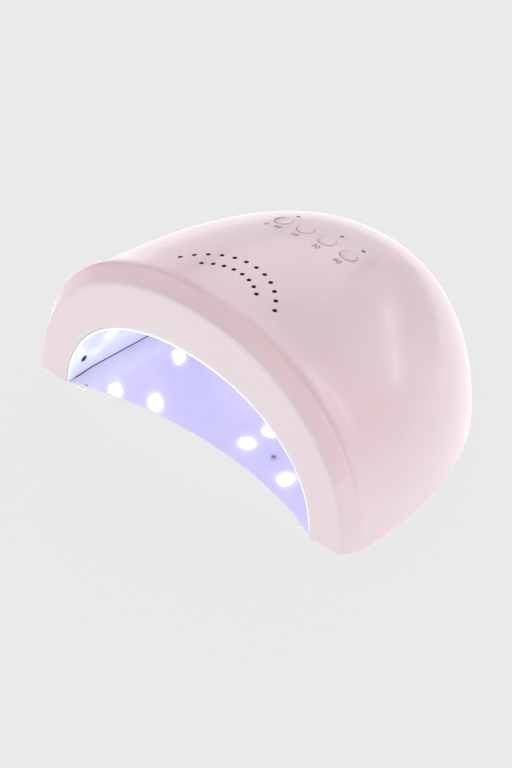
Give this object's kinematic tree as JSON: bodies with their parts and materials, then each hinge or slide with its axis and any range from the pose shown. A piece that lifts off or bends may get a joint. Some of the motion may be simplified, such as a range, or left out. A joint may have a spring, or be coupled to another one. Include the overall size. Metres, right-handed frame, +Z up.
{
  "type": "uv nail lamp",
  "caption": "Dome-shaped tabletop UV nail lamp with an open hand cavity, reflector with lamp beads, removable floor plate and push buttons.",
  "frame": {"origin": "centre of the whole lamp's bounding box in plan, at the underside of its feet", "axes": "+X to the right along the width as seen from the hand opening, +Y from the hand opening to the rounded back, +Z up"},
  "size_m": [0.1966, 0.1455, 0.0824],
  "materials": {
    "shell": "pale pink moulded ABS, satin gloss",
    "liner": "white reflective moulding, semi gloss",
    "base": "white moulding, fine texture",
    "plate": "bright polished steel sheet",
    "magnet": "nickel plated disc magnet",
    "foot": "soft grey rubber",
    "screw": "zinc plated self-tapping screw",
    "button": "pink moulded key cap, satin gloss",
    "plunger": "nylon switch stem",
    "switch": "black switch housing",
    "board": "green glass epoxy with solder mask",
    "lamp_board": "white solder mask on aluminium backed board",
    "light_guide": "clear moulded rod",
    "led": "small surface mounted lamp",
    "bead": "clear domed lens over a violet emitter",
    "sensor": "dark infrared window",
    "can": "sleeved aluminium can",
    "coil": "ferrite block",
    "connector": "white nylon header",
    "socket": "black socket body",
    "pin": "plated contact pin",
    "ribbon": "flat grey ribbon cable"
  },
  "bodies": {
    "housing": {"top_shell": "shell", "reflector_liner": "liner", "base_frame": "base", "floor_plate": "plate", "plate_magnets": "magnet", "rubber_feet": "foot", "base_screws": "screw", "tact_switches": "switch", "button_board": "board", "button_board_screws": "screw", "light_guides": "light_guide", "indicator_leds": "led", "lamp_board_left": "lamp_board", "lamp_board_right": "lamp_board", "lamp_board_roof": "lamp_board", "lamp_board_back": "lamp_board", "lamp_beads_left": "bead", "lamp_beads_right": "bead", "lamp_beads_roof": "bead", "lamp_beads_back": "bead", "liner_screws": "screw", "hand_sensors": "sensor", "driver_board": "board", "driver_screws": "screw", "capacitors": "can", "inductor": "coil", "connectors": "connector", "dc_socket": "socket", "socket_pin": "pin", "button_ribbon": "ribbon", "lamp_ribbons": "ribbon"},
    "key_1": {"button_1": "button", "switch_plunger_1": "plunger"},
    "key_2": {"button_2": "button", "switch_plunger_2": "plunger"},
    "key_3": {"button_3": "button", "switch_plunger_3": "plunger"},
    "key_4": {"button_4": "button", "switch_plunger_4": "plunger"}
  },
  "joints": [
    {"name": "press_1", "type": "slide", "parent": "housing", "child": "key_1", "axis": [0, -0.1822, -0.9833], "range_m": [0, 0.0005], "stiffness_N_per_m": 2000, "springref_m": -0.0003},
    {"name": "press_2", "type": "slide", "parent": "housing", "child": "key_2", "axis": [0, -0.1822, -0.9833], "range_m": [0, 0.0005], "stiffness_N_per_m": 2000, "springref_m": -0.0003},
    {"name": "press_3", "type": "slide", "parent": "housing", "child": "key_3", "axis": [0, -0.1822, -0.9833], "range_m": [0, 0.0005], "stiffness_N_per_m": 2000, "springref_m": -0.0003},
    {"name": "press_4", "type": "slide", "parent": "housing", "child": "key_4", "axis": [0, -0.1822, -0.9833], "range_m": [0, 0.0005], "stiffness_N_per_m": 2000, "springref_m": -0.0003}
  ]
}
